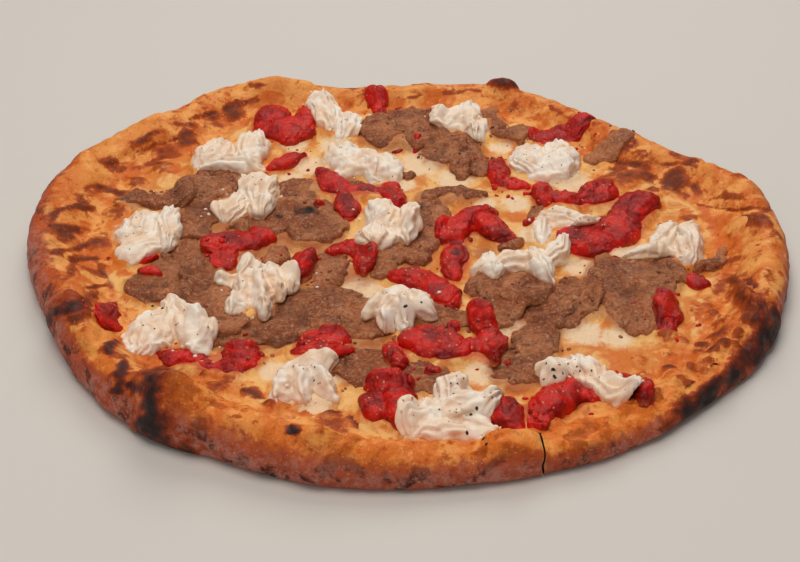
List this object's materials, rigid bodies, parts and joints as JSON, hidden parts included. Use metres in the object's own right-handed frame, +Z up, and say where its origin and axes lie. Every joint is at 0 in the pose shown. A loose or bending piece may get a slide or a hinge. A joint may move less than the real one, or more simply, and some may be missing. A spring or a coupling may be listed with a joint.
{
  "type": "meatball pizza",
  "caption": "Whole round hand-stretched pizza with a puffed browned rim, melted cheese, slices of meatball, roasted tomato pieces and piped ricotta dollops.",
  "frame": {"origin": "centre of the pizza's bounding box in plan, on the flat underside it rests on", "axes": "+Z up, +Y away from the front edge where the rim is cut, +X to the right seen from that front edge"},
  "size_m": [0.3908, 0.35, 0.0328],
  "materials": {
    "crust": "baked dough, golden to dark brown, dry and slightly rough",
    "melted_cheese": "melted mozzarella, oily satin, browned near the rim",
    "meatball": "cooked ground meat, crumbly, slightly moist",
    "tomato": "roasted tomato flesh, wet gloss",
    "ricotta": "fresh cheese, soft satin with piped ridges and dark herb specks"
  },
  "bodies": {
    "root": {"crust": "crust", "melted_cheese": "melted_cheese", "meatball_1": "meatball", "meatball_2": "meatball", "meatball_3": "meatball", "meatball_4": "meatball", "meatball_5": "meatball", "meatball_6": "meatball", "meatball_7": "meatball", "meatball_8": "meatball", "meatball_9": "meatball", "meatball_10": "meatball", "meatball_11": "meatball", "meatball_12": "meatball", "meatball_13": "meatball", "meatball_14": "meatball", "meatball_15": "meatball", "meatball_16": "meatball", "meatball_17": "meatball", "meatball_18": "meatball", "tomato_1": "tomato", "tomato_2": "tomato", "tomato_3": "tomato", "tomato_4": "tomato", "tomato_5": "tomato", "tomato_6": "tomato", "tomato_7": "tomato", "tomato_8": "tomato", "tomato_9": "tomato", "tomato_10": "tomato", "tomato_11": "tomato", "tomato_12": "tomato", "tomato_13": "tomato", "tomato_14": "tomato", "tomato_15": "tomato", "tomato_16": "tomato", "tomato_17": "tomato", "tomato_18": "tomato", "tomato_19": "tomato", "tomato_20": "tomato", "tomato_21": "tomato", "tomato_22": "tomato", "tomato_23": "tomato", "ricotta_1": "ricotta", "ricotta_2": "ricotta", "ricotta_3": "ricotta", "ricotta_4": "ricotta", "ricotta_5": "ricotta", "ricotta_6": "ricotta", "ricotta_7": "ricotta", "ricotta_8": "ricotta", "ricotta_9": "ricotta", "ricotta_10": "ricotta", "ricotta_11": "ricotta", "ricotta_12": "ricotta", "ricotta_13": "ricotta", "ricotta_14": "ricotta", "ricotta_15": "ricotta", "ricotta_16": "ricotta", "ricotta_17": "ricotta"}
  },
  "joints": []
}
